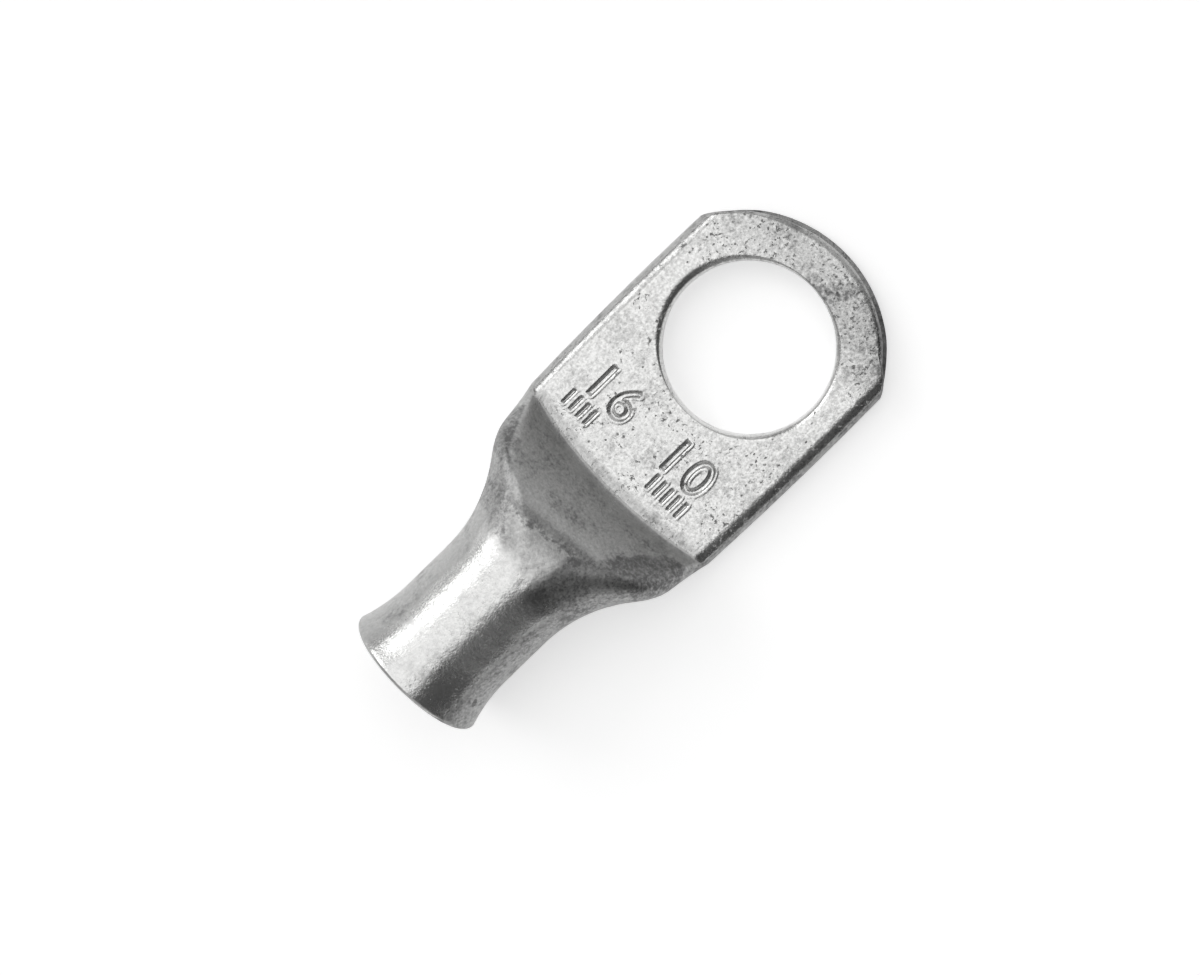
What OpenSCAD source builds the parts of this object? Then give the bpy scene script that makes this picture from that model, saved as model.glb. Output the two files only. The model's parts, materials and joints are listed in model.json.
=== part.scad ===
// Tinned copper ring lug, pressed from one length of tube: a belled round barrel that
// takes the stranded cable, a shoulder where the tube is squashed flat, and a palm with
// a stud hole. The whole lug is a single piece of metal.
//
// Frame: origin on the stud hole's axis, at the palm's underside. +X runs along the
// barrel towards the cable, +Z is up out of the palm. Lengths are in millimetres.

/* [Palm] */
// Width of the palm across its two folded edges
palm_w = 15.4; // [14.4:0.1:16]
// Thickness of the palm, two tube walls pressed together
palm_t = 2.0; // [1.8:0.1:2.4]
// Radius of the sheared round end
tip_r = 8.75; // [8.6:0.05:9.6]
// How far the round end's centre lies on the barrel's side of the hole
tip_shift = 0.7; // [0:0.1:1.2]
// Rolled-over corner round the end, on top
tip_roll = 0.4; // [0.2:0.05:0.5]

/* [Stud hole] */
// Diameter of the hole, for a 3/8 inch or 10 mm stud
hole_d = 10.4; // [8.4:0.1:10.8]
// Rolled-over corner of the hole, on top
hole_roll = 0.4; // [0.2:0.05:0.5]
// Broken corner of the hole and of the round end, underneath
under_break = 0.15; // [0.05:0.05:0.3]

/* [Barrel] */
// Outside diameter of the round barrel
barrel_od = 8.05; // [7.6:0.05:8.8]
// Wall of the tube
wall = 1.1; // [0.9:0.05:1.3]
// Hole's centre to the open end of the barrel
mouth_x = 27.2; // [25:0.1:30]
// Length of the barrel, from its open end to where the squash begins
barrel_len = 6.7; // [5:0.1:9]

/* [Bell mouth] */
// Outside diameter at the open end
mouth_od = 9.25; // [8.9:0.05:10]
// Length of the belled stretch
bell_len = 3.5; // [2.5:0.1:4.5]
// Rounding of the rim's two corners
rim_r = 0.25; // [0.15:0.05:0.4]

/* [Shoulder] */
// Hole's centre to the corners where the shoulder meets the palm's edges
heel_x = 10.8; // [10:0.1:12]
// How far the heel line bows towards the barrel at its middle
heel_bow = 1.0; // [0:0.1:1.5]
// Slope of the shoulder's top face, from the palm's plane
top_slope = 60; // [50:1:66]
// Rounding where the barrel's crest turns down
crest_r = 3.4; // [2:0.1:4]
// Angle of the flanks where the tube spreads, seen from above
flank_angle = 38; // [34:0.5:44]
// Hollow radius where the barrel spreads into the flanks
flank_hollow_r = 8.7; // [7.5:0.1:9.5]
// Round radius where the flanks turn towards the palm
flank_round_r = 4.8; // [3:0.1:5.5]
// Angle of the flanks where they meet the palm
flank_draft = 16; // [10:0.5:18]
// Where along the shoulder its round top starts to flatten, as a share of its length
flat_start = 0.3; // [0.1:0.05:0.5]

/* [Smoothness] */
// Points round a section of the shoulder
section_points = 64; // [48:4:88]
// Sections along the shoulder
shoulder_steps = 28; // [20:1:36]

/* [Hidden] */
$fn = 96;
tin_grey = [0.78, 0.78, 0.77];

half_w = palm_w / 2;
edge_r = palm_t / 2;               // the palm's folded edges are full rounds
hole_r = hole_d / 2;
barrel_r = barrel_od / 2;
bore_r = barrel_r - wall;
mouth_r = mouth_od / 2;

shoulder_x = mouth_x - barrel_len; // where the shoulder leaves the barrel
shoulder_len = shoulder_x - heel_x;
lap = 0.5;                         // flat stretch made with the shoulder, past its corners
palm_x = heel_x - lap;             // where the plain palm begins
fuse = 0.5;                        // length by which the shoulder runs inside its neighbours
skin = 0.01;                       // and how far its surface stays under theirs there
slit = 0.1;                        // height of the hollow where the two walls meet
past = 1;                          // overshoot of a cutting shape

// The belled wall follows an arc that leaves the barrel without a corner.
bell_rise = mouth_r - barrel_r;
bell_r = (pow(bell_len, 2) + pow(bell_rise, 2)) / (2 * bell_rise);
bell_centre = [barrel_r + bell_r, bell_len];

function mix(a, b, t) = a + (b - a) * t;
function ease(t) = let (c = max(0, min(1, t))) c * c * (3 - 2 * c);

// What a rounded corner leaves off: r is its radius, and d1 and d2 are the directions
// from its centre to the two faces that it joins.
module corner_waste(centre, r, d1, d2) {
    difference() {
        polygon([centre, centre + 2 * r * d1, centre + 2 * r * (d1 + d2), centre + 2 * r * d2]);
        translate(centre) circle(r);
    }
}

// ---- Palm ----
// A bar of the two walls pressed together, with folded edges and a sheared round end.
module palm() {
    difference() {
        translate([palm_x, 0, edge_r]) rotate([90, 0, -90])
            linear_extrude(palm_x - tip_shift + tip_r + past) {
                square([palm_w - palm_t, palm_t], center = true);
                for (side = [-1, 1]) translate([side * (half_w - edge_r), 0]) circle(edge_r);
            }
        translate([tip_shift, 0, 0]) rotate([0, 0, 90]) rotate_extrude(angle = 180) {
            translate([tip_r, -past]) square([tip_r, palm_t + 2 * past]);
            corner_waste([tip_r - tip_roll, palm_t - tip_roll], tip_roll, [1, 0], [0, 1]);
            corner_waste([tip_r - under_break, under_break], under_break, [1, 0], [0, -1]);
        }
    }
}

module stud_hole() {
    rotate_extrude() {
        translate([0, -past]) square([hole_r, palm_t + 2 * past]);
        corner_waste([hole_r + hole_roll, palm_t - hole_roll], hole_roll, [-1, 0], [0, 1]);
        corner_waste([hole_r + under_break, under_break], under_break, [-1, 0], [0, -1]);
    }
}

// ---- Barrel ----
// Half sections, with x the radius and y the distance from the open end.
// A corner of the rim, whose centre lies at the given reach from the bell's centre.
module rim_waste(reach, side) {
    away = bell_len - rim_r;
    centre = bell_centre - [sqrt(pow(reach, 2) - pow(away, 2)), away];
    corner_waste(centre, rim_r, side * (bell_centre - centre) / reach, [0, -1]);
}

module barrel_profile() {
    difference() {
        union() {
            square([barrel_r, barrel_len]);
            difference() {
                square([mouth_r, bell_len]);
                translate(bell_centre) circle(bell_r);
            }
        }
        rim_waste(bell_r + rim_r, 1);
    }
}

module bore_profile() {
    square([bore_r, barrel_len]);
    difference() {
        translate([0, -past]) square([barrel_r, bell_len + past]);
        translate(bell_centre) circle(bell_r + wall);
    }
    rim_waste(bell_r + wall - rim_r, -1);
}

module on_barrel() {
    translate([mouth_x, 0, barrel_r]) rotate([0, -90, 0]) rotate_extrude() children();
}

// ---- Shoulder, in plan: half its width at a distance d from the barrel ----
// A hollow arc, a straight flank, a round and a slightly drafted run to the palm.
hollow_end = flank_hollow_r * sin(flank_angle);
hollow_rise = flank_hollow_r * (1 - cos(flank_angle));
round_run = flank_round_r * (sin(flank_angle) - sin(flank_draft));
round_rise = flank_round_r * (cos(flank_draft) - cos(flank_angle));
rest_run = shoulder_len - hollow_end - round_run;
rest_rise = half_w - barrel_r - hollow_rise - round_rise;
flank_run = (rest_rise - rest_run * tan(flank_draft)) / (tan(flank_angle) - tan(flank_draft));
flank_end = hollow_end + flank_run;
round_end = flank_end + round_run;
round_d = flank_end + flank_round_r * sin(flank_angle);
round_y = barrel_r + hollow_rise + flank_run * tan(flank_angle) - flank_round_r * cos(flank_angle);

function half_width(d) =
    d <= 0 ? barrel_r
    : d <= hollow_end ? barrel_r + flank_hollow_r - sqrt(pow(flank_hollow_r, 2) - d * d)
    : d <= flank_end ? barrel_r + hollow_rise + (d - hollow_end) * tan(flank_angle)
    : d <= round_end ? round_y + sqrt(pow(flank_round_r, 2) - pow(round_d - d, 2))
    : min(half_w, half_w - (shoulder_len - d) * tan(flank_draft));

// ---- Shoulder, from the side: height at a distance c along its middle, inset by a wall ----
// The crest, a round that turns it down and a straight slope to the palm's top.
crest_turn = crest_r * sin(top_slope);
crest_drop = crest_r * (1 - cos(top_slope));
crest_end = shoulder_len - heel_bow - crest_turn
    - (barrel_od - palm_t - crest_drop) / tan(top_slope);

function top_height(c, inset) =
    let (r = crest_r - inset, turn = r * sin(top_slope))
    c <= crest_end ? barrel_od - inset
    : c <= crest_end + turn ? barrel_od - crest_r + sqrt(r * r - pow(c - crest_end, 2))
    : barrel_od - crest_r + r * cos(top_slope) - (c - crest_end - turn) * tan(top_slope);

// How far the middle of a section lies nearer the barrel than its sides do.
function bow(d) = heel_bow * ease(d / shoulder_len) * (1 - ease((d - shoulder_len) / lap));

// How far in the round ends of a section reach: to its middle at the barrel, and no
// further than the folds at the palm.
function end_reach(d, w, fold) =
    mix(w, fold, ease((d / shoulder_len - flat_start) / (1 - flat_start)));

// A section at d: round at the barrel, then flattened into a bar with round ends.
// w is half its width, r the reach of its round ends, lo and hi its under and top heights.
function section(d, w, r, lo, hi) = [
    for (i = [0 : section_points - 1])
        let (a = 360 * i / section_points,
             y = w * cos(a),
             t = max(0, (abs(y) - w + r) / r),
             z = (lo + hi) / 2 + (hi - lo) / 2 * sign(sin(a)) * sqrt(max(0, 1 - t * t)))
        [shoulder_x - d + bow(d) * (1 - pow(cos(a), 2)), y, z]
];

// A closed solid through a list of sections.
module loft(sections) {
    n = section_points;
    last = (len(sections) - 1) * n;
    points = [for (ring = sections) each ring];
    sides = [
        for (k = [0 : len(sections) - 2], i = [0 : n - 1])
            let (j = (i + 1) % n, a = k * n + i, b = k * n + j)
            each [[a, b, a + n], [b, b + n, a + n]]
    ];
    first_cap = [for (i = [1 : n - 2]) [0, i + 1, i]];
    last_cap = [for (i = [1 : n - 2]) [last, last + i, last + i + 1]];
    polyhedron(points, concat(sides, first_cap, last_cap), convexity = 6);
}

module shoulder() {
    steps = [for (k = [1 : shoulder_steps]) shoulder_len * k / shoulder_steps];
    barrel_end = [for (d = [-fuse, 0])
        section(d, barrel_r - skin, barrel_r - skin, skin, barrel_od - skin)];
    palm_end = [for (d = [shoulder_len + lap, shoulder_len + lap + fuse])
        section(d, half_w - skin, edge_r - skin, skin, palm_t - skin)];
    loft(concat(
        barrel_end,
        [for (d = steps)
            let (w = half_width(d))
            section(d, w, end_reach(d, w, edge_r), 0, max(palm_t, top_height(d - bow(d), 0)))],
        palm_end
    ));
}

// The hollow inside the shoulder, one wall in, which runs out where the two walls meet.
module shoulder_hollow() {
    walls = (palm_t - slit) / 2;   // each wall where they meet
    r = crest_r - wall;
    close = crest_end + r * sin(top_slope)
        + (barrel_od - crest_r + r * cos(top_slope) - walls - slit) / tan(top_slope);
    count = round(shoulder_steps * 0.6);
    barrel_end = [for (d = [-fuse, 0])
        section(d, bore_r - skin, bore_r - skin, wall + skin, barrel_od - wall - skin)];
    loft(concat(
        barrel_end,
        [for (k = [1 : count])
            let (d = (close + heel_bow) * k / count, w = half_width(d) - wall,
                 lo = mix(wall, walls, ease(d / shoulder_len)))
            section(d, w, end_reach(d, w, edge_r / 2),
                lo, max(lo + slit, top_height(d - bow(d), wall)))]
    ));
}

module cable_lug() {
    color(tin_grey) difference() {
        union() {
            palm();
            shoulder();
            on_barrel() barrel_profile();
        }
        stud_hole();
        shoulder_hollow();
        on_barrel() bore_profile();
    }
}

cable_lug();
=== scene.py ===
import json
import math

import bmesh
import bpy
from mathutils import Matrix, Vector, noise
from mathutils.bvhtree import BVHTree
from mathutils.kdtree import KDTree


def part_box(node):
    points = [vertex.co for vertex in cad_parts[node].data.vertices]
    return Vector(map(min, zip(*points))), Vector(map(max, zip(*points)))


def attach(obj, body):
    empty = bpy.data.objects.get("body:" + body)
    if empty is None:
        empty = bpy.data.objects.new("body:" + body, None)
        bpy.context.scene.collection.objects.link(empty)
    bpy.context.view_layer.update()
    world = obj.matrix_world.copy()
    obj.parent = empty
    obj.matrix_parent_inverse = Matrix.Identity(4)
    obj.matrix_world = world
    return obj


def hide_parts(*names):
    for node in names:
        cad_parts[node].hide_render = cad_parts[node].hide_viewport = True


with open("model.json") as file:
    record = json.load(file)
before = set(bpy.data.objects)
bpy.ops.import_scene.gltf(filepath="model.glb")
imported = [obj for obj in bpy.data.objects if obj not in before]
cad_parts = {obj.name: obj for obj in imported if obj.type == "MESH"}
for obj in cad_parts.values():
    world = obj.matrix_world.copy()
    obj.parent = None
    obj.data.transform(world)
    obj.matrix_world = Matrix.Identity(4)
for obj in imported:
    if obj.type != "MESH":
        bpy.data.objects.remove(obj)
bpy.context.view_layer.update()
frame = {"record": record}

bl_info = {
    "name": "Cable Lug",
    "version": (1, 0, 0),
    "blender": (4, 5, 0),
    "location": "View3D > Sidebar > Cable Lug",
    "description": "A tinned copper ring lug with a belled barrel, on a pale studio floor",
    "category": "Add Mesh",
}

MM = 0.001
NODE = "cable_lug"
LOW, HIGH = (Vector(corner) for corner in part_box(NODE))
MOUNTS = {mount["name"]: mount for mount in frame["record"]["mounts"]}

# Heights of the rows down a folded edge, as shares of half the palm's thickness.
FOLD_LEVELS = (1, 0.98, 0.93, 0.85, 0.74, 0.6, 0.4, 0.2, 0.06, 0)
# How far each row of the palm's top lies on the way from the hole to the outline. The
# underside, which is plain, has every third of them.
FACE_ROWS = (0, 0.03, 0.07, 0.12, 0.17, 0.22, 0.27, 0.32, 0.37, 0.42, 0.47, 0.52, 0.57, 0.62,
             0.67, 0.72, 0.77, 0.82, 0.86, 0.89, 0.915, 0.935, 0.95, 0.962, 0.973, 0.983,
             0.992, 1)

# The stamped figures: characters, size, x and y of the baseline's middle, and spacing.
STAMPS = (
    ("16", 3.3 * MM, 8.65 * MM, -3.7 * MM, 1.15),
    ("10", 3.3 * MM, 8.65 * MM, 2.5 * MM, 1.15),
    ("IIII", 1.5 * MM, 10.1 * MM, -4.5 * MM, 1.3),
    ("IIIII", 1.5 * MM, 10.1 * MM, 2.9 * MM, 1.3),
)
# The field of the palm that holds them: its ends along x, then along y.
STAMP_FIELD = (5.7 * MM, 10.4 * MM, -6.3 * MM, 6.0 * MM)
STAMP_DEPTH = 0.14 * MM
LIP_HEIGHT = 0.028 * MM
# How far from a figure's outline the surface is still moved.
STAMP_REACH = 0.5 * MM

# The tin's unevenness: height and number of swells to a millimetre, and a shift of its own.
SWELLS = ((0.012, 0.35, (0, 0, 0)), (0.006, 0.9, (7, 3, 1)), (0.0022, 2.2, (1, 9, 4)))
# Knocks: place, radius and depth in millimetres.
KNOCKS = (
    ((17.4, 0.35, 8.05), 0.45, 0.04), ((18.2, 0.6, 8.03), 0.3, 0.03),
    ((16.9, -0.2, 8.0), 0.35, 0.03), ((19.3, -0.9, 7.95), 0.3, 0.02),
    ((24.6, -1.4, 8.2), 0.5, 0.02), ((21.0, 2.4, 7.2), 0.6, 0.02),
)

# Soft panels: their lean round the lug's length and half the angle that they span, in
# degrees, then their length and the middle of it along X, in metres.
PANELS = {
    "overhead": {"lean": -14, "half": 28, "length": 2.4, "x": -0.15},
    "key": {"lean": -56, "half": 12, "length": 1.3, "x": 0.3},
}
PANEL_DISTANCE = 2.0


# ---------------------------------------------------------------- sizes

class LugSizes(bpy.types.PropertyGroup):
    """Sizes of the lug, in the frame whose origin is on the stud hole's axis."""

    palm_width: bpy.props.FloatProperty(
        name="Palm Width", description="Across the palm's two folded edges",
        default=HIGH.y - LOW.y, unit='LENGTH')
    palm_thickness: bpy.props.FloatProperty(
        name="Palm Thickness", description="Two walls of tube pressed together",
        default=2.0 * MM, unit='LENGTH')
    hole_diameter: bpy.props.FloatProperty(
        name="Hole Diameter", description="Bore of the stud hole",
        default=2 * MM * MOUNTS["stud_hole"]["dims"]["r_mm"], unit='LENGTH')
    tip_radius: bpy.props.FloatProperty(
        name="Tip Radius", description="Radius of the sheared round end",
        default=8.75 * MM, unit='LENGTH')
    roll_depth: bpy.props.FloatProperty(
        name="Rollover Depth", description="Height of the rounding that the shears leave on top",
        default=0.4 * MM, unit='LENGTH')
    hole_roll: bpy.props.FloatProperty(
        name="Hole Rollover", description="Width of the rounding round the hole",
        default=0.6 * MM, unit='LENGTH')
    tip_roll: bpy.props.FloatProperty(
        name="Tip Rollover", description="Width of the rounding round the end",
        default=0.65 * MM, unit='LENGTH')
    burr: bpy.props.FloatProperty(
        name="Under Break", description="Broken corner underneath",
        default=0.15 * MM, unit='LENGTH')
    setback: bpy.props.FloatProperty(
        name="Wall Setback", description="How far the upper wall ends short of the lower one",
        default=0.28 * MM, unit='LENGTH')
    seam_depth: bpy.props.FloatProperty(
        name="Seam Depth", description="Depth of the seam between the palm's two walls",
        default=0.3 * MM, unit='LENGTH')
    seam_height: bpy.props.FloatProperty(
        name="Seam Height", description="Height over which the seam opens",
        default=0.06 * MM, unit='LENGTH')
    barrel_diameter: bpy.props.FloatProperty(
        name="Barrel Diameter", description="Outside diameter of the round barrel",
        default=8.05 * MM, unit='LENGTH')
    wall: bpy.props.FloatProperty(
        name="Wall", description="Wall of the tube", default=1.1 * MM, unit='LENGTH')
    slit: bpy.props.FloatProperty(
        name="Slit", description="Gap between the walls where the hollow ends",
        default=0.1 * MM, unit='LENGTH')
    barrel_length: bpy.props.FloatProperty(
        name="Barrel Length", description="From the mouth to where the squash begins",
        default=6.7 * MM, unit='LENGTH')
    mouth_diameter: bpy.props.FloatProperty(
        name="Mouth Diameter", description="Outside diameter at the open end",
        default=9.25 * MM, unit='LENGTH')
    bell_length: bpy.props.FloatProperty(
        name="Bell Length", description="Length of the belled stretch",
        default=3.5 * MM, unit='LENGTH')
    rim_radius: bpy.props.FloatProperty(
        name="Rim Radius", description="Rounding of the mouth's two edges",
        default=0.25 * MM, unit='LENGTH')
    heel_x: bpy.props.FloatProperty(
        name="Heel", description="Where the shoulder meets the palm's edges",
        default=10.8 * MM, unit='LENGTH')
    heel_bow: bpy.props.FloatProperty(
        name="Heel Bow", description="Bow of the heel line towards the barrel",
        default=1.0 * MM, unit='LENGTH')
    heel_fillet: bpy.props.FloatProperty(
        name="Heel Fillet", description="Reach of the rounding between the slope and the palm",
        default=0.45 * MM, unit='LENGTH')
    slope: bpy.props.FloatProperty(
        name="Slope", description="Slope of the shoulder's top face",
        default=math.radians(60), subtype='ANGLE')
    crest_radius: bpy.props.FloatProperty(
        name="Crest Radius", description="Rounding where the crest turns down",
        default=3.4 * MM, unit='LENGTH')
    crest_sweep: bpy.props.FloatProperty(
        name="Crest Sweep", description="Gentle rounding before the crest turns down",
        default=6.5 * MM, unit='LENGTH')
    crest_knee: bpy.props.FloatProperty(
        name="Crest Knee", description="Tighter rounding where the crest meets the slope",
        default=1.6 * MM, unit='LENGTH')
    sweep_turn: bpy.props.FloatProperty(
        name="Sweep Turn", description="How far the gentle rounding turns before the tighter one",
        default=math.radians(36), subtype='ANGLE')
    flat_start: bpy.props.FloatProperty(
        name="Flat Start", description="Share of the shoulder at which its top flattens",
        default=0.3, min=0.1, max=0.5)
    flank_hollow: bpy.props.FloatProperty(
        name="Flank Hollow", description="Radius of the hollow curve beside the barrel",
        default=8.7 * MM, unit='LENGTH')
    flank_spread: bpy.props.FloatProperty(
        name="Flank Spread", description="Greatest angle between the flanks and the barrel",
        default=math.radians(38), subtype='ANGLE')
    corner_radius: bpy.props.FloatProperty(
        name="Corner Radius", description="Radius of the flanks' rounded corner",
        default=4.8 * MM, unit='LENGTH')
    corner_draft: bpy.props.FloatProperty(
        name="Corner Draft", description="Angle of the flanks between the corner and the palm",
        default=math.radians(16), subtype='ANGLE')


class LugFinish(bpy.types.PropertyGroup):
    """Colours of the tin, clean and dull. The dull one is also the colour of the painted shade.
    """

    tin: bpy.props.FloatVectorProperty(
        name="Tin", description="Clean tin", subtype='COLOR', size=3,
        default=(0.88, 0.88, 0.87))
    # The dark end of the colour mix, for dull tin and for painted shade alike.
    tarnish_and_shade: bpy.props.FloatVectorProperty(
        name="Tarnish", description="Dull tin in pits and hollows", subtype='COLOR', size=3,
        default=(0.17, 0.17, 0.17))


class StageSettings(bpy.types.PropertyGroup):
    """The studio round the lug."""

    floor: bpy.props.FloatVectorProperty(
        name="Floor", description="Colour of the floor", subtype='COLOR', size=3,
        default=(0.9, 0.9, 0.9))
    glow: bpy.props.FloatProperty(
        name="Glow", description="What the floor adds to be seen as white", default=0.5, min=0)
    panel: bpy.props.FloatProperty(
        name="Panel", description="Brightness of the panel overhead", default=0.98, min=0)
    key: bpy.props.FloatProperty(
        name="Key", description="Brightness of the soft box at the side", default=2.3, min=0)


# ---------------------------------------------------------------- shapes

def ease(t):
    """A smooth step from 0 to 1."""
    t = min(max(t, 0), 1)
    return t * t * (3 - 2 * t)


def blend(a, b, t):
    """A value a share t of the way from a to b."""
    return a + (b - a) * t


def soft_max(a, b, reach):
    """The greater of two values, rounded where they are within reach of one another."""
    near = max(reach - abs(a - b), 0)
    return max(a, b) + near * near / (4 * reach)


class LugShape:
    """The curves of the lug, worked out from its sizes."""

    def __init__(self, sizes):
        self.half_w = sizes.palm_width / 2
        self.t = sizes.palm_thickness
        self.edge_r = self.t / 2
        self.hole_r = sizes.hole_diameter / 2
        self.tip_r = sizes.tip_radius
        self.tip_x = LOW.x + self.tip_r
        self.roll_depth, self.hole_roll = sizes.roll_depth, sizes.hole_roll
        self.tip_roll = sizes.tip_roll
        self.burr, self.setback = sizes.burr, sizes.setback
        self.seam_depth, self.seam_h = sizes.seam_depth, sizes.seam_height
        self.barrel_r = sizes.barrel_diameter / 2
        self.wall = sizes.wall
        self.bore_r = self.barrel_r - self.wall
        self.mouth_x = HIGH.x
        self.mouth_r = sizes.mouth_diameter / 2
        self.bell, self.rim_r = sizes.bell_length, sizes.rim_radius
        self.slit = sizes.slit
        self.heel_x, self.heel_bow = sizes.heel_x, sizes.heel_bow
        self.fillet = sizes.heel_fillet
        self.shoulder_x = self.mouth_x - sizes.barrel_length
        self.length = self.shoulder_x - self.heel_x
        self.slope, self.crest_r = sizes.slope, sizes.crest_radius
        self.flat_start = sizes.flat_start
        self.sweep, self.knee = sizes.crest_sweep, sizes.crest_knee
        self.sweep_turn = sizes.sweep_turn
        self.flat_y = self.half_w - self.edge_r
        self.corner_turn = math.acos(self.flat_y / self.half_w)
        self.crest_end = (
            self.length - self.heel_bow - self.crest_r * math.sin(self.slope)
            - (2 * self.barrel_r - self.t - self.crest_r * (1 - math.cos(self.slope)))
            / math.tan(self.slope))
        self.flank = self.flank_curve(
            hollow=sizes.flank_hollow, spread=sizes.flank_spread,
            round_r=sizes.corner_radius, draft=sizes.corner_draft)

    def flank_curve(self, hollow, spread, round_r, draft):
        """Half the shoulder's width, as a function of the distance d from the barrel."""
        hollow_end = hollow * math.sin(spread)
        hollow_rise = hollow * (1 - math.cos(spread))
        round_run = round_r * (math.sin(spread) - math.sin(draft))
        round_rise = round_r * (math.cos(draft) - math.cos(spread))
        rest_run = self.length - hollow_end - round_run
        rest_rise = self.half_w - self.barrel_r - hollow_rise - round_rise
        straight = ((rest_rise - rest_run * math.tan(draft))
                    / (math.tan(spread) - math.tan(draft)))
        flank_end = hollow_end + straight
        round_d = flank_end + round_r * math.sin(spread)
        round_y = (self.barrel_r + hollow_rise + straight * math.tan(spread)
                   - round_r * math.cos(spread))

        def half_width(d):
            if d <= 0:
                return self.barrel_r
            if d <= hollow_end:
                return self.barrel_r + hollow - math.sqrt(hollow ** 2 - d ** 2)
            if d <= flank_end:
                return self.barrel_r + hollow_rise + (d - hollow_end) * math.tan(spread)
            if d <= flank_end + round_run:
                return round_y + math.sqrt(round_r ** 2 - (round_d - d) ** 2)
            return min(self.half_w, self.half_w - (self.length - d) * math.tan(draft))

        return half_width

    def heel(self, y):
        """Where the heel line crosses the palm."""
        return self.heel_x + self.heel_bow * (1 - (y / self.half_w) ** 2)

    def bow(self, d):
        """How far the middle of a section lies behind its sides."""
        return self.heel_bow * ease(d / self.length)

    def hollow_height(self, c):
        """Height of the skin inside the shoulder's top: level, one rounding, the slope."""
        r = self.crest_r - self.wall
        turn = r * math.sin(self.slope)
        if c <= self.crest_end:
            return 2 * self.barrel_r - self.wall
        if c <= self.crest_end + turn:
            return (2 * self.barrel_r - self.crest_r
                    + math.sqrt(r * r - (c - self.crest_end) ** 2))
        return (2 * self.barrel_r - self.crest_r + r * math.cos(self.slope)
                - (c - self.crest_end - turn) * math.tan(self.slope))

    def skin_height(self, c):
        """Height of the shoulder's top outside: a gentle sweep, a tighter knee, the slope."""
        turn = self.sweep_turn
        foot = self.length - self.heel_bow
        drop = (self.sweep * (1 - math.cos(turn))
                + self.knee * (math.cos(turn) - math.cos(self.slope)))
        slope_start = foot - (2 * self.barrel_r - drop - self.t) / math.tan(self.slope)
        knee_start = slope_start - self.knee * (math.sin(self.slope) - math.sin(turn))
        start = knee_start - self.sweep * math.sin(turn)
        if c <= start:
            return 2 * self.barrel_r
        if c <= knee_start:
            return (2 * self.barrel_r - self.sweep
                    + math.sqrt(self.sweep ** 2 - (c - start) ** 2))
        if c <= slope_start:
            centre = slope_start - self.knee * math.sin(self.slope)
            base = 2 * self.barrel_r - drop - self.knee * math.cos(self.slope)
            return base + math.sqrt(self.knee ** 2 - (c - centre) ** 2)
        return self.t + (foot - c) * math.tan(self.slope)

    def palm_top(self, x, y):
        """The palm's top, which rises softly into the shoulder at the heel."""
        past = self.heel(y) - x
        return soft_max(
            self.t, self.skin_height(self.length - self.heel_bow + past), self.fillet)

    def end_reach(self, d, w, fold):
        """How far in a section's round ends reach: to its middle until the flat starts."""
        flat = (d / self.length - self.flat_start) / (1 - self.flat_start)
        return blend(w, fold, ease(flat))

    def section(self, d, turn, w, r, lo, hi):
        """A point of a flattened section: a bar with round ends, half w wide."""
        y = w * math.cos(turn)
        t = max(0, (abs(y) - w + r) / r)
        half = (hi - lo) / 2 * math.copysign(math.sqrt(max(0, 1 - t * t)), math.sin(turn))
        return Vector((self.shoulder_x - d + self.bow(d) * math.sin(turn) ** 2, y,
                       (lo + hi) / 2 + half))

    def shoulder(self, d, turn):
        """A point of the shoulder's skin, at a distance from the barrel."""
        w = self.flank(d)
        hi = soft_max(self.t, self.skin_height(d - self.bow(d)), self.fillet)
        return self.section(d, turn, w, self.end_reach(d, w, self.edge_r), 0, hi)

    def hollow_end(self):
        """The distance from the barrel at which the hollow has come down to its slit."""
        r = self.crest_r - self.wall
        return (self.crest_end + r * math.sin(self.slope)
                + (2 * self.barrel_r - self.crest_r + r * math.cos(self.slope)
                   - (self.t + self.slit) / 2) / math.tan(self.slope)) + self.heel_bow

    def hollow(self, d, turn):
        """A point of the skin inside the shoulder, which narrows down to a slit."""
        lo = blend(self.wall, (self.t - self.slit) / 2, ease(d / self.length))
        hi = max(lo + self.slit, self.hollow_height(d - self.bow(d)))
        w = self.flank(d) - self.wall
        return self.section(d, turn, w, self.end_reach(d, w, self.edge_r / 2), lo, hi)

    def round_point(self, x, r, turn):
        """A point of a circle round the barrel's axis."""
        return Vector((x, r * math.cos(turn), self.barrel_r + r * math.sin(turn)))

    # -- The palm's outline, by columns that run round the hole.

    def columns(self, heel=96, side=64, tip=80):
        """The columns' places on the outline, from one end of the heel round to it again."""
        span = math.pi - 2 * self.corner_turn
        result = [("heel", math.pi - self.corner_turn - span * i / heel)
                  for i in range(heel + 1)]
        result += [("right", i / side) for i in range(1, side)]
        result += [("tip", i / tip) for i in range(tip + 1)]
        result += [("left", 1 - i / side) for i in range(1, side)]
        return result

    def tip_reach(self, z, share):
        """The round end's radius at a height, for a share of the way round it.

        Below the upper wall lie the seam, which dies out at both ends, and a broken corner.
        """
        if z > self.edge_r:
            return self.upper_reach(z, share)
        fade = 0.1
        seam = self.seam_depth * ease(1 + (z - self.edge_r) / self.seam_h)
        under = max(0, self.burr - z)
        return (self.tip_r - seam * ease(share / fade) * ease((1 - share) / fade)
                - (self.burr - math.sqrt(max(0, self.burr ** 2 - under ** 2))))

    def upper_reach(self, z, share):
        """The upper wall's radius: set back, least so at both ends, and rolled over on top."""
        start_fade, end_fade, least_roll = 0.12, 0.35, 0.45
        back = self.setback * ease(share / start_fade) * ease((1 - share) / end_fade)
        over = max(0, (z - self.t) / self.roll_depth + 1)
        roll = self.tip_roll * blend(least_roll, 1, math.sin(math.pi * share) ** 2)
        return self.tip_r - back - roll * (1 - math.sqrt(max(0, 1 - over ** 2)))

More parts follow.
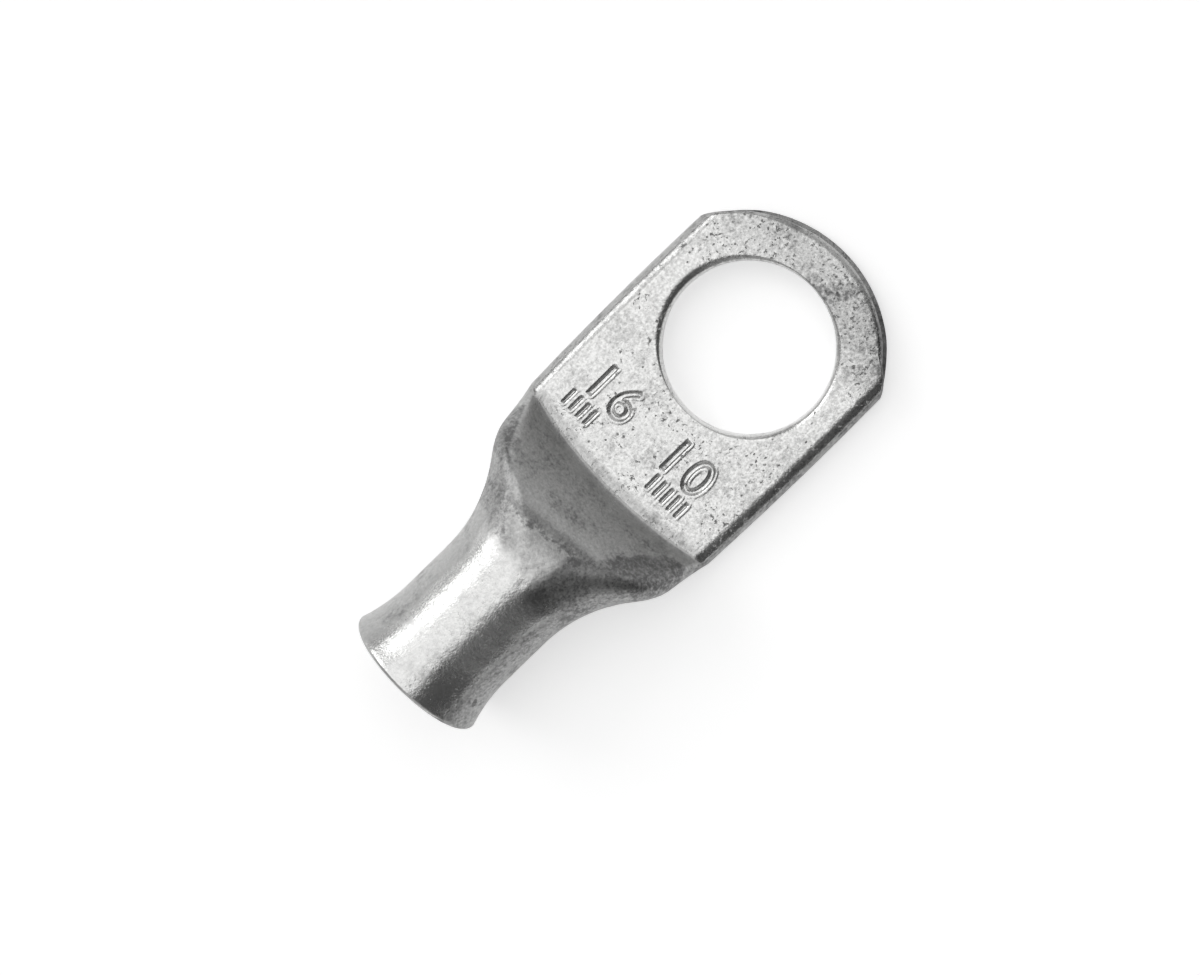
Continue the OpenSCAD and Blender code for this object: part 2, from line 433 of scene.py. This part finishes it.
    def outline(self, column, z):
        """A column's point on the outline at a height."""
        kind, share = column
        edge = self.flat_y + math.sqrt(max(0, self.edge_r ** 2 - (z - self.edge_r) ** 2))
        if kind == "heel":
            y = self.half_w * math.cos(share)
            if abs(abs(y) - self.flat_y) < 1e-9:
                y = math.copysign(edge, y)
            return Vector((self.heel(y), y, z))
        if kind == "tip":
            reach = self.tip_reach(z, share)
            corner = math.asin(edge / reach)
            angle = math.pi - corner + 2 * corner * share
            return Vector((self.tip_x + reach * math.cos(angle), reach * math.sin(angle), z))
        corner = self.outline(("tip", 0.0 if kind == "right" else 1.0), z)
        return Vector((blend(self.heel(edge), corner.x, share), corner.y, z))


# ---------------------------------------------------------------- the lug's mesh

class Tube:
    """A bmesh grown loop by loop: each new loop of vertices is extruded, then placed."""

    def __init__(self, columns):
        self.columns = columns
        self.bm = bmesh.new()
        self.column = self.bm.verts.layers.int.new("column")
        self.turn = self.bm.verts.layers.float.new("turn")
        bmesh.ops.create_circle(self.bm, cap_ends=False, radius=1, segments=len(columns))
        for index, vert in enumerate(self.bm.verts):
            vert[self.column] = index
        self.start = list(self.bm.edges)

    def where(self, vert):
        """The column that a vertex belongs to."""
        return self.columns[vert[self.column]]

    def grow(self, edges, place):
        """Extrudes a loop of edges, places each new vertex and returns the new loop."""
        made = bmesh.ops.extrude_edge_only(self.bm, edges=edges)["geom"]
        verts = {item for item in made if isinstance(item, bmesh.types.BMVert)}
        for vert in verts:
            vert.co = place(vert)
        return [item for item in made if isinstance(item, bmesh.types.BMEdge)
                and verts.issuperset(item.verts)]


def build_palm(tube, shape):
    """The palm with its hole, left open along the heel."""
    def outward(vert):
        """The way from the hole's axis to a vertex's place on the outline."""
        return shape.outline(tube.where(vert), shape.t).xy.normalized()

    def rim(vert, radius, z):
        """A point of a circle round the hole's axis."""
        return (outward(vert) * radius).to_3d() + Vector((0, 0, z))

    def roll(vert, width):
        """How far the corner is drawn in: widest at the palm's sides, a fifth of it between."""
        return width * blend(0.2, 1, outward(vert).y ** 2)

    for vert in tube.bm.verts:
        vert.co = rim(vert, shape.hole_r, shape.t / 2)

    def face(edges, z, corner, share):
        """A row of the top or the underside, a share of the way from the hole's corner."""
        def place(vert):
            inner = rim(vert, shape.hole_r + roll(vert, corner), z)
            point = inner.lerp(shape.outline(tube.where(vert), z), share)
            if z > shape.edge_r:
                point.z = shape.palm_top(point.x, point.y)
            return point
        return tube.grow(edges, place)

    def wall(level, width, depth, rows):
        """From the middle of the hole's wall round its corner, by a quarter of an ellipse."""
        edges = tube.grow(tube.start, lambda v: rim(v, shape.hole_r, level - depth))
        for row in range(1, rows):
            a = math.pi / 2 * row / rows
            z = level - depth * (1 - math.sin(a))
            edges = tube.grow(edges, lambda v, w=width * (1 - math.cos(a)), z=z: rim(
                v, shape.hole_r + roll(v, w), z))
        return edges

    top = wall(shape.t, shape.hole_roll, shape.roll_depth, 10)
    for share in FACE_ROWS:
        top = face(top, shape.t, shape.hole_roll, share)
    under = wall(0, shape.burr, -shape.burr, 4)
    for share in FACE_ROWS[::3]:
        under = face(under, 0, shape.burr, share)

    # The folded edges and the round end, but not the heel, from the top row down.
    def at_heel(edge):
        return all(tube.where(vert)[0] == "heel" for vert in edge.verts)

    edge = [e for e in top if not at_heel(e)]
    levels = [shape.edge_r * (1 + level) for level in FOLD_LEVELS[1:]]
    levels += [shape.edge_r * (1 - level) for level in FOLD_LEVELS[-2::-1]]
    for z in levels:
        edge = tube.grow(edge, lambda v, z=z: shape.outline(tube.where(v), z))
    bmesh.ops.remove_doubles(tube.bm, verts=tube.bm.verts, dist=1e-7)


def barrel_rows(shape):
    """The barrel's outline from the shoulder out to the rim and back in, as x and radius."""
    rise = shape.mouth_r - shape.barrel_r
    bell_r = (shape.bell ** 2 + rise ** 2) / (2 * rise)
    bell_x = shape.mouth_x - shape.bell
    rim = shape.rim_r

    def bell(s, reach):
        """A share of the way along the bell, on the arc of one of its two faces."""
        return (bell_x + shape.bell * s,
                shape.barrel_r + bell_r - math.sqrt(reach ** 2 - (shape.bell * s) ** 2))

    flat_rows, bell_rows, rim_rows, bore_rows = 8, 16, 5, 5
    flat = [(blend(shape.shoulder_x, bell_x, row / flat_rows), shape.barrel_r)
            for row in range(1, flat_rows)]
    shares = [row / bell_rows * (1 - rim / shape.bell) for row in range(bell_rows + 1)]
    outer = [bell(share, bell_r) for share in shares]
    inner = [bell(share, bell_r + shape.wall) for share in shares]
    last, first = Vector(outer[-1]), Vector(inner[-1])
    lean = (last - first).normalized()
    along = Vector((lean.y, -lean.x))
    turns = [math.pi / 2 * row / rim_rows for row in range(1, rim_rows + 1)]
    corners = []
    for centre, towards in ((last - lean * rim, 1), (first + lean * rim, -1)):
        arc = [centre + lean * towards * rim * math.cos(a) + along * rim * math.sin(a)
               for a in turns]
        corners.append([tuple(point) for point in arc])
    bore = [(blend(bell_x, shape.shoulder_x, row / bore_rows), shape.bore_r)
            for row in range(1, bore_rows)]
    return flat + outer + corners[0] + corners[1][::-1] + inner[::-1] + bore


def build_barrel(tube, shape):
    """The shoulder, the barrel, the rim, the bore and the hollow, grown from the heel."""
    edges = [e for e in tube.bm.edges if e.is_boundary]
    for vert in {v for e in edges for v in e.verts}:
        turn = math.acos(min(max(vert.co.y / shape.half_w, -1), 1))
        vert[tube.turn] = turn if vert.co.z >= shape.edge_r else 2 * math.pi - turn

    # Rows lie close together at the heel, as shares of the way out from the barrel.
    shares = [0.985, 0.97, 0.955, 0.94, 0.92] + [0.9 - 0.9 * k / 36 for k in range(37)]
    for share in shares:
        edges = tube.grow(
            edges, lambda v, d=shape.length * share: shape.shoulder(d, v[tube.turn]))
    for x, r in barrel_rows(shape):
        edges = tube.grow(edges, lambda v, x=x, r=r: shape.round_point(x, r, v[tube.turn]))

    end = shape.hollow_end()
    rows = 20
    for row in range(rows + 1):
        edges = tube.grow(
            edges, lambda v, d=end * row / rows: shape.hollow(d, v[tube.turn]))

    def shut(vert):
        """Both walls meet in the middle of the slit, a little further on."""
        a, b = (shape.hollow(end, turn) for turn in (vert[tube.turn], -vert[tube.turn]))
        return Vector((a.x - 0.03 * MM, a.y, (a.z + b.z) / 2))

    tube.grow(edges, shut)
    bmesh.ops.remove_doubles(tube.bm, verts=tube.bm.verts, dist=1e-7)


# ---------------------------------------------------------------- stamps and wear

class Stamps:
    """Plain figures and strokes, and how deep they press the palm at any point."""

    def __init__(self):
        self.trees, self.outline = [], []
        for words, size, x, y, spacing in STAMPS:
            self.add(words, size, x, y, spacing)
        self.near = KDTree(len(self.outline))
        for index, point in enumerate(self.outline):
            self.near.insert(point, index)
        self.near.balance()

    def add(self, words, size, x, y, spacing):
        """Lays out one line of characters across the palm, with their tops to the tip."""
        point_gap = 0.01 * MM
        curve = bpy.data.curves.new("figures", 'FONT')
        curve.body, curve.size, curve.align_x = words, size, 'CENTER'
        curve.space_character = spacing
        curve.resolution_u = 6
        text = bpy.data.objects.new("figures", curve)
        mesh = bpy.data.meshes.new_from_object(text)
        mesh.transform(Matrix.Translation((x, y, 0)) @ Matrix.Rotation(math.pi / 2, 4, 'Z'))
        bm = bmesh.new()
        bm.from_mesh(mesh)
        bmesh.ops.remove_doubles(bm, verts=bm.verts, dist=1e-7)
        self.trees.append(BVHTree.FromBMesh(bm))
        for edge in bm.edges:
            if edge.is_boundary:
                a, b = (vert.co for vert in edge.verts)
                steps = max(1, math.ceil((a - b).length / point_gap))
                self.outline += [a.lerp(b, step / steps) for step in range(steps)]
        bm.free()
        bpy.data.objects.remove(text)
        bpy.data.curves.remove(curve)
        bpy.data.meshes.remove(mesh)

    def depth(self, x, y):
        """How far the surface is pressed down, with a low lip round each figure."""
        point = Vector((x, y, 0))
        reach = self.near.find(point)[2]
        if reach > STAMP_REACH:
            return 0.0
        inside = any(tree.ray_cast(point + Vector((0, 0, MM)), Vector((0, 0, -1)))[0]
                     for tree in self.trees)
        # Distances into a figure from its outline, in millimetres.
        wall_start, wall_width, lip_middle, lip_width = -0.06, 0.16, -0.13, 0.07
        into = (reach if inside else -reach) / MM
        lip = math.exp(-((into - lip_middle) / lip_width) ** 2)
        return STAMP_DEPTH * ease((into - wall_start) / wall_width) - LIP_HEIGHT * lip


def press_stamps(bm, top):
    """Refines the palm's top under the figures, then presses them in."""
    x_low, x_high, y_low, y_high = STAMP_FIELD

    def in_field(point):
        return (abs(point.z - top) < 0.1 * MM
                and x_low < point.x < x_high and y_low < point.y < y_high)

    field = [f for f in bm.faces if f.normal.z > 0.99 and in_field(f.calc_center_median())]
    edges = list(dict.fromkeys(e for f in field for e in f.edges))
    bmesh.ops.subdivide_edges(bm, edges=edges, cuts=3, use_grid_fill=True)
    stamps = Stamps()
    for vert in bm.verts:
        if vert.normal.z > 0.9 and in_field(vert.co):
            vert.co.z -= stamps.depth(vert.co.x, vert.co.y)


def wear(bm):
    """Unevenness that the press and the tumbling leave, and a few knocks."""
    bm.normal_update()
    moves = []
    for vert in bm.verts:
        co = vert.co / MM
        swell = sum(height * noise.noise(co * scale + Vector(shift))
                    for height, scale, shift in SWELLS)
        for knock, radius, depth in KNOCKS:
            reach = (co - Vector(knock)).length / radius
            if reach < 2:
                swell -= depth * math.exp(-2 * reach * reach)
        moves.append(vert.normal * swell * MM)
    for vert, move in zip(bm.verts, moves):
        vert.co += move


def bend(bm):
    """The lug isn't quite true: the palm's sides bow, and the mouth is cut a little askew."""
    bow, bow_middle, bow_half, askew = 0.12, 2.4, 7.7, 0.02
    for vert in bm.verts:
        x, y = vert.co.x / MM, vert.co.y / MM
        side = ease((abs(y) - 5) / 2) * (1 - ease((x - 11) / 3))
        inward = bow * ((x - bow_middle) / bow_half) ** 2 * side
        vert.co.y -= math.copysign(inward, y) * MM
        vert.co.x -= askew * y * ease((x - 23) / 4) * MM


def lug_mesh(shape):
    """The whole lug: grown as one skin, then stamped, bent and worn."""
    tube = Tube(shape.columns())
    build_palm(tube, shape)
    build_barrel(tube, shape)
    bm = tube.bm
    bmesh.ops.recalc_face_normals(bm, faces=bm.faces)
    bm.normal_update()
    press_stamps(bm, shape.t)
    bend(bm)
    wear(bm)
    for face in bm.faces:
        face.smooth = True
    mesh = bpy.data.meshes.new("lug")
    bm.to_mesh(mesh)
    bm.free()
    return mesh


# ---------------------------------------------------------------- materials

class Value:
    """A socket in a shader expression, which also adds nodes to its tree."""

    def __init__(self, tree, socket=None):
        self.tree, self.socket = tree, socket

    def node(self, kind, settings=None, **inputs):
        """Adds a node, its settings first, then the values or links of its sockets.

        A socket goes by its name, or by i and its number where names repeat.
        """
        node = self.tree.nodes.new(kind)
        for name, value in (settings or {}).items():
            setattr(node, name, value)
        for name, value in inputs.items():
            numbered = name[0] == "i" and name[1:].isdigit()
            key = int(name[1:]) if numbered else name.replace("_", " ")
            if isinstance(value, Value):
                self.tree.links.new(value.socket, node.inputs[key])
            else:
                node.inputs[key].default_value = value
        return node

    def out(self, node, name=0):
        """An output of a node, by its number or name."""
        return Value(self.tree, node.outputs[name])

    def parts(self, vector):
        """The X, Y and Z of a vector."""
        split = self.node("ShaderNodeSeparateXYZ", Vector=vector)
        return [self.out(split, axis) for axis in "XYZ"]

    def math(self, operation, a, b=0.0, clamp=False):
        """The result of a Math node."""
        return self.out(self.node("ShaderNodeMath", {"operation": operation,
                                                     "use_clamp": clamp}, i0=a, i1=b))

    def __add__(self, other):
        return self.math('ADD', self, other)

    def __sub__(self, other):
        return self.math('SUBTRACT', self, other)

    def __rsub__(self, other):
        return self.math('SUBTRACT', other, self)

    def __mul__(self, other):
        return self.math('MULTIPLY', self, other)

    __radd__ = __add__
    __rmul__ = __mul__


def ramp(value, none, full):
    """A mask: 0 where a value is at none or before it, 1 from full on, smooth between them."""
    return value.out(value.node(
        "ShaderNodeMapRange", {"interpolation_type": 'SMOOTHSTEP'}, Value=value,
        From_Min=none, From_Max=full))


def greatest(first, *others):
    """The greatest of several values."""
    for other in others:
        first = first.math('MAXIMUM', first, other)
    return first


class TinSkin:
    """Dull hot-dipped tin and painted shade, as masks over the lug, by place in millimetres and
    by facing.
    """

    def __init__(self, make):
        self.make = make
        source = make.node("ShaderNodeTexCoord")
        self.place = make.out(make.node(
            "ShaderNodeMapping", Vector=make.out(source, "Object"), Scale=(1 / MM,) * 3))
        self.x, self.y, self.z = make.parts(self.place)
        self.facing_x, self.facing_y, self.facing_z = make.parts(make.out(source, "Normal"))

        self.dimples = self.speckle(1.1)
        self.grain = self.speckle(3.2, detail=4.0, rough=0.7, shift=3.0)
        self.patches = self.speckle(0.55, detail=3.0, rough=0.6, shift=11.0)
        self.fine = self.speckle(6.0, rough=0.7, shift=17.0)
        # Noise about zero, which makes the borders of the masks ragged.
        self.jitter = self.grain - 0.5
        self.drift = self.patches - 0.5

        # Regions of the lug: its end, weighted towards +Y, the height of the palm and the palm's
        # level top, the bowed foot of the slope, and all that stands higher or that the press
        # squashed.
        self.tip_end = ramp(self.x, -1.5, -6.5) * (0.85 + ramp(self.y, 0.0, 4.0) * 0.5)
        self.low = ramp(self.z, 2.6, 2.3)
        self.level = self.low * ramp(self.facing_z, 0.85, 0.97)
        self.heel = ramp(self.x + self.y * self.y * 0.0135, 10.8, 11.3)
        self.raised = ramp(self.z, 2.4, 3.2)
        self.pressed = self.raised * ramp(self.x, 18.6, 16.8)
        self.dull = ramp(self.patches + self.jitter * 0.6, 0.45, 0.8)
        # Painted shade on steep faces; it also makes them rougher.
        self.sides = self.steep_shade()
        self.pits = greatest(self.pits_and_scars(), self.scratch())

    def speckle(self, scale, detail=2.0, rough=0.5, shift=0.0):
        """Noise from 0 to 1, by its scale in a millimetre, moved to a place of its own."""
        moved = self.make.out(self.make.node(
            "ShaderNodeMapping", Vector=self.place, Location=(shift, shift * 1.7, shift * 0.6)))
        return self.make.out(self.make.node(
            "ShaderNodeTexNoise", {"noise_dimensions": '3D'}, Vector=moved, Scale=scale,
            Detail=detail, Roughness=rough))

    def pits_and_scars(self):
        """Round pits and branching scars, both in clusters and scarce on the barrel."""
        cells = self.make.out(self.make.node(
            "ShaderNodeTexVoronoi", {"feature": 'F1'}, Vector=self.place, Scale=2.2), "Distance")
        pits = ramp(cells - self.jitter * 0.5, 0.16, 0.08) * ramp(
            self.speckle(0.6, shift=23.0) + self.tip_end * 0.12, 0.47, 0.62)
        scars = ramp(self.speckle(3.4, detail=3.0, rough=0.65, shift=31.0), 0.58, 0.65) * ramp(
            self.speckle(0.5, shift=37.0) + self.tip_end * 0.14, 0.5, 0.58)
        return greatest(pits, scars) * (1.0 - ramp(self.x, 10.5, 12.5) * 0.8)

    def scratch(self):
        """One short deep scratch on the bell."""
        x, y = self.x - 25.3, self.y - 3.56
        lean = 0.35
        length, width = x + y * lean, y - x * lean
        away = length * length * 9.0 + width * width * 90.0 - self.jitter * 2.0
        return ramp(away, 1.2, 0.7) * ramp(self.z, 4.0, 4.5)

    def steep_shade(self):
        """Painted shade on steep faces, stronger where they face +Y, but less in the hole and on
        the end of the upper wall.
        """
        steep = ramp(self.facing_z, 0.8, 0.66) * (0.45 + ramp(self.facing_y, 0.2, 0.6) * 0.2)
        from_hole = self.make.math('SQRT', self.x * self.x + self.y * self.y)
        upper_end = ramp(self.x, -4.0, -7.0) * ramp(self.z, 0.88, 0.95)
        return steep * (0.4 + ramp(from_hole, 5.45, 5.65) * 0.6 - upper_end * 0.5)

    def crest(self):
        """Painted shade on the top of the shoulder where it faces -X, most where it also faces
        -Y, and a painted ragged dark crease where it turns down.
        """
        shade_strength = (0.46 + ramp(self.facing_x, -0.3, -0.5) * 0.12
                    + ramp(self.facing_y, -0.1, -0.4) * 0.4)
        crest = self.pressed * ramp(self.facing_x, -0.86, -0.81) * shade_strength
        off_crease = self.make.math(
            'ABSOLUTE', self.x + self.y * 0.15 - 15.05 - self.jitter * 1.8)
        return greatest(crest, self.pressed * ramp(off_crease, 0.85, 0.15) * 0.88)

    def corner(self):
        """Painted shade in the corner of the shoulder, between the slope and the flank on the +Y
        side.
        """
        flank = self.raised * ramp(self.x, 20.2, 18.4) * ramp(self.facing_y, 0.9, 0.75)
        past_line = self.y - (16.9 - self.x) * 1.13 + self.drift * 1.5
        shade_strength = 0.88 + ramp(self.facing_x, -0.2, -0.5) * 0.12
        return flank * ramp(past_line, -0.9, 0.05) * ramp(self.y, 0.6, 1.6) * shade_strength

    def edges(self):
        """Painted shade on the mouth's rim and on the palm's two folded edges."""
        rim = ramp(self.x, 26.97, 27.1) * 0.6
        near_fold = ramp(self.y, -6.75, -6.9) * ramp(self.facing_y, -0.04, -0.16) * self.low
        far_fold = ramp(self.y + self.jitter * 2.0 + self.drift, 6.9, 7.15) * ramp(
            self.z, 3.4, 2.2)
        return greatest(rim, near_fold * 0.5, far_fold * 0.5)

    def tarnish_and_shade(self):
        """From 0, clean tin, to 1, the darkest: dull patches and pits of the tin, with painted
        shade on steep faces, the shoulder's crest and corner, the rim and the folded edges, and
        darker at the foot of the slope and towards the end.
        """
        ragged = 0.8 + ramp(self.patches * 0.7 + self.grain * 0.6, 0.5, 0.8) * 0.2
        # A base, dull patches, painted shade on steep faces, and darker towards the end and at
        # the foot of the slope.
        film_and_shade = (0.17 + self.dull * (0.2 + self.tip_end * 0.3) + self.sides
                + self.tip_end * 0.32 + self.heel * self.level * 0.3)
        palm = self.level * (1.0 - self.heel * 0.6)
        contrast = (0.3 + palm * 0.8 + self.pressed * 0.25
                    + ramp(self.facing_y, 0.1, 0.4) * 0.4)
        mottle = (self.fine - 0.5 + self.jitter * 0.6) * contrast
        dark = greatest(film_and_shade, greatest(self.crest(), self.corner()) * ragged, self.edges())
        return self.make.math('MAXIMUM', self.pits * 0.85, dark + mottle, clamp=True)

    def roughness(self):
        """Rougher where it is dull, pitted, steep or pressed."""
        return (0.22 + self.dull * 0.12 + self.pits * 0.3
                + greatest(self.sides, self.pressed) * 0.18 + self.jitter * 0.2)

    def relief(self):
        """Height in millimetres: shallow dimples, grain and pits."""
        return self.dimples * 0.02 + self.grain * 0.02 + self.fine * 0.011 - self.pits * 0.02


def new_material(name):
    """A material, its shader and the maker of its nodes."""
    material = bpy.data.materials.new(name)
    material.use_nodes = True
    tree = material.node_tree
    return material, tree.nodes["Principled BSDF"], Value(tree)


def tin_material(finish):
    """Tin whose colour lies between clean and dark, where the dark is both dull tin and painted
    shade.
    """
    material, shader, make = new_material("tin")
    skin = TinSkin(make)
    colour = make.out(make.node(
        "ShaderNodeMix", {"data_type": 'RGBA'}, i0=skin.tarnish_and_shade(), i6=(*finish.tin, 1),
        i7=(*finish.tarnish_and_shade, 1)), 2)
    bump = make.out(make.node("ShaderNodeBump", Height=skin.relief(), Distance=MM, Strength=1.0))
    for name, value in (("Base Color", colour), ("Roughness", skin.roughness()),
                        ("Normal", bump)):
        make.tree.links.new(value.socket, shader.inputs[name])
    shader.inputs["Metallic"].default_value = 1
    return material


def floor_material(stage):
    """A pale floor that looks white to the camera and in gloss, and still takes the shadow."""
    material, shader, make = new_material("floor")
    path = make.node("ShaderNodeLightPath")
    seen = greatest(*(make.out(path, ray) for ray in (
        "Is Camera Ray", "Is Glossy Ray", "Is Transmission Ray")))
    glow = seen * stage.glow
    make.tree.links.new(glow.socket, shader.inputs["Emission Color"])
    shader.inputs["Emission Strength"].default_value = 1
    shader.inputs["Base Color"].default_value = (*stage.floor, 1)
    shader.inputs["Roughness"].default_value = 0.8
    return material


# ---------------------------------------------------------------- operators

def add_object(name, data):
    """Puts a new object into the scene, at the origin."""
    item = bpy.data.objects.new(name, data)
    bpy.context.scene.collection.objects.link(item)
    return item


class LUG_OT_add_lug(bpy.types.Operator):
    """Add the lug as one seamless piece of tinned copper"""

    bl_idname = "cable_lug.add_lug"
    bl_label = "Add Lug"

    def execute(self, context):
        shape = LugShape(context.scene.lug_sizes)
        mesh = lug_mesh(shape)
        mesh.materials.append(tin_material(context.scene.lug_finish))
        lug = add_object("lug", mesh)
        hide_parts(NODE)
        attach(lug, "root")
        return {'FINISHED'}


class LUG_OT_add_stage(bpy.types.Operator):
    """Add the floor, the soft lights and the camera"""

    bl_idname = "cable_lug.add_stage"
    bl_label = "Add Stage"

    def execute(self, context):
        stage = context.scene.lug_stage
        self.add_floor(stage)
        self.add_panel("overhead", stage.panel, **PANELS["overhead"])
        self.add_panel("key", stage.key, **PANELS["key"])
        self.add_world(context)
        self.add_camera(context)
        context.scene.view_settings.view_transform = 'Standard'
        return {'FINISHED'}

    def add_floor(self, stage):
        """A disc that the lug rests on, with its bell and its round end."""
        bm = bmesh.new()
        bmesh.ops.create_circle(bm, cap_ends=True, radius=1.0, segments=96)
        tilt = math.atan2(-LOW.z, HIGH.x - LOW.x)
        bmesh.ops.transform(
            bm, verts=bm.verts,
            matrix=Matrix.Translation((LOW.x, 0, 0)) @ Matrix.Rotation(tilt, 4, 'Y'))
        mesh = bpy.data.meshes.new("floor")
        bm.to_mesh(mesh)
        bm.free()
        mesh.materials.append(floor_material(stage))
        add_object("floor", mesh)

    def add_panel(self, name, brightness, lean, half, length, x):
        """A soft panel that faces the lug and looks as bright as stated."""
        width = 2 * PANEL_DISTANCE * math.tan(math.radians(half))
        light = bpy.data.lights.new(name, 'AREA')
        light.shape = 'RECTANGLE'
        light.size, light.size_y = length, width
        light.energy = brightness * math.pi * length * width
        lamp = add_object(name, light)
        lamp.matrix_world = (Matrix.Translation((x, 0, 0))
                             @ Matrix.Rotation(math.radians(-lean), 4, 'X')
                             @ Matrix.Translation((0, 0, PANEL_DISTANCE)))

    def add_world(self, context):
        """A dark room, paler low down on the -Y side, towards the cable and off the tip."""
        world = bpy.data.worlds.new("studio")
        world.use_nodes = True
        make = Value(world.node_tree)
        x, y, z = make.parts(make.out(make.node("ShaderNodeTexCoord"), "Generated"))
        wall = ramp(y, -0.3, -0.7) * ramp(z, 0.2, 0.16) * 0.6
        cable = ramp(x, 0.1, 0.8) * 0.35
        tip = ramp(x, -0.2, -0.8) * ramp(y, 0.5, 0.1) * 0.45
        light = 0.075 + wall + cable + tip
        background = world.node_tree.nodes["Background"]
        background.inputs["Color"].default_value = (1, 1, 1, 1)
        make.tree.links.new(light.socket, background.inputs["Strength"])
        context.scene.world = world

    def add_camera(self, context):
        """A camera a hand's width above the lug that looks almost straight down."""
        data = bpy.data.cameras.new("camera")
        data.sensor_width = 36
        data.shift_x, data.shift_y = -0.12, -0.11
        data.lens = 54.37
        data.clip_start, data.clip_end = 0.01, 10
        place = Matrix.Translation((-3.78 * MM, 0.02 * MM, 108.89 * MM))
        for axis, degrees in (('Z', 135.725), ('X', -1.64), ('Y', 1.60)):
            place @= Matrix.Rotation(math.radians(degrees), 4, axis)
        camera = add_object("camera", data)
        camera.matrix_world = place
        context.scene.camera = camera


class LUG_PT_panel(bpy.types.Panel):
    """The lug's operators, sizes and colours in the sidebar"""

    bl_label = "Cable Lug"
    bl_idname = "LUG_PT_panel"
    bl_space_type = 'VIEW_3D'
    bl_region_type = 'UI'
    bl_category = "Cable Lug"

    def draw(self, context):
        for operator in OPERATORS:
            self.layout.operator(operator.bl_idname)
        scene = context.scene
        for group in (scene.lug_sizes, scene.lug_finish, scene.lug_stage):
            box = self.layout.box()
            for name in group.__annotations__:
                box.prop(group, name)


OPERATORS = (LUG_OT_add_lug, LUG_OT_add_stage)
CLASSES = (LugSizes, LugFinish, StageSettings, *OPERATORS, LUG_PT_panel)


def register():
    for cls in CLASSES:
        bpy.utils.register_class(cls)
    bpy.types.Scene.lug_sizes = bpy.props.PointerProperty(type=LugSizes)
    bpy.types.Scene.lug_finish = bpy.props.PointerProperty(type=LugFinish)
    bpy.types.Scene.lug_stage = bpy.props.PointerProperty(type=StageSettings)


def unregister():
    del bpy.types.Scene.lug_stage
    del bpy.types.Scene.lug_finish
    del bpy.types.Scene.lug_sizes
    for cls in reversed(CLASSES):
        bpy.utils.unregister_class(cls)


def main():
    """Builds the lug and its stage."""
    register()
    bpy.ops.cable_lug.add_lug()
    bpy.ops.cable_lug.add_stage()


if __name__ == "__main__":
    main()
